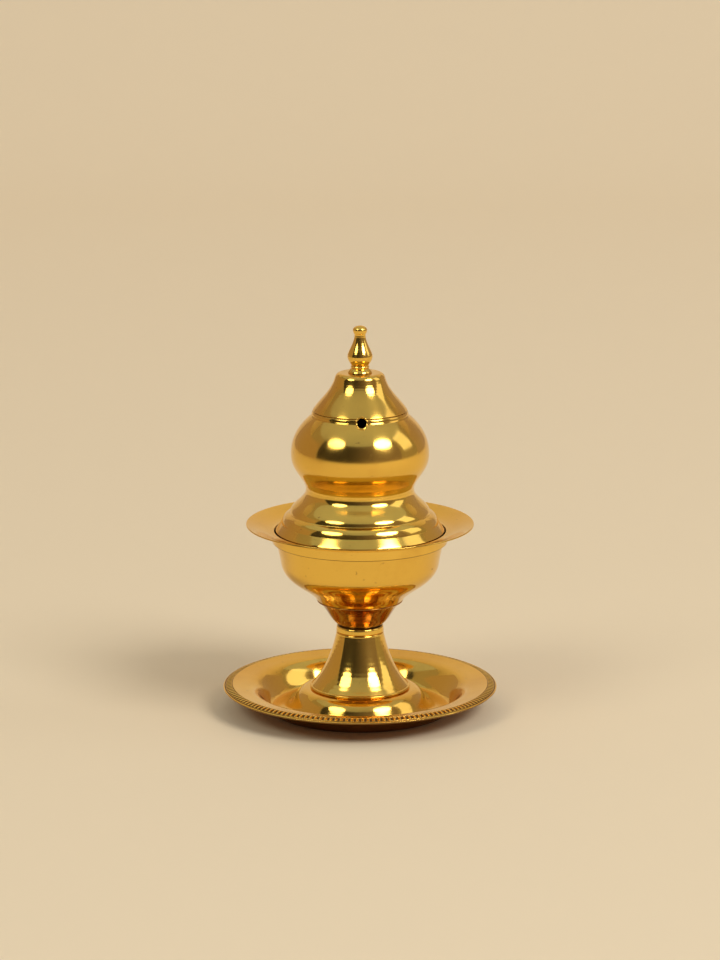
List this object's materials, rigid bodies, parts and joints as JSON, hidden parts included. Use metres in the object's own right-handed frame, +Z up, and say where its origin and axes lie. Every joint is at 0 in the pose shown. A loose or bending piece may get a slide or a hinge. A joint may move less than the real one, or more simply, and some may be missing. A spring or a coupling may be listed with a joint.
{
  "type": "lidded table censer",
  "caption": "Lidded brass incense burner on a footed bowl and beaded saucer, with a lift-off onion-shaped lid and a lift-out charcoal cup.",
  "frame": {"origin": "centre of the flat ring under the saucer, on the surface that the burner stands on", "axes": "+Z up the common axis of all the turned pieces, -Y towards the first smoke hole"},
  "size_m": [0.152, 0.152, 0.216],
  "materials": {
    "polished_brass": "polished",
    "heat_stained_brass": "satin",
    "plated_steel": "satin"
  },
  "bodies": {
    "burner": {"saucer": "polished_brass", "foot": "polished_brass", "neck_ring": "polished_brass", "cone": "polished_brass", "bowl": "polished_brass", "bowl_rim": "polished_brass", "tie_rod": "plated_steel", "lower_washer": "plated_steel", "lower_nut": "plated_steel", "upper_washer": "plated_steel", "upper_nut": "plated_steel"},
    "cup": {"charcoal_cup": "heat_stained_brass", "cup_stand": "heat_stained_brass"},
    "lid": {"lid_skirt": "polished_brass", "lid_bulb": "polished_brass", "lid_cap": "polished_brass", "finial": "polished_brass", "finial_washer": "plated_steel", "finial_nut": "plated_steel"}
  },
  "joints": [
    {"name": "lid_lift", "type": "slide", "parent": "burner", "child": "lid", "axis": [0, 0, 1], "range_m": [0, 0.1]},
    {"name": "cup_lift", "type": "slide", "parent": "burner", "child": "cup", "axis": [0, 0, 1], "range_m": [0, 0.05]}
  ],
  "couplings": [
    {"joint": "cup_lift", "follows": "lid_lift", "ratio": 0.5}
  ]
}
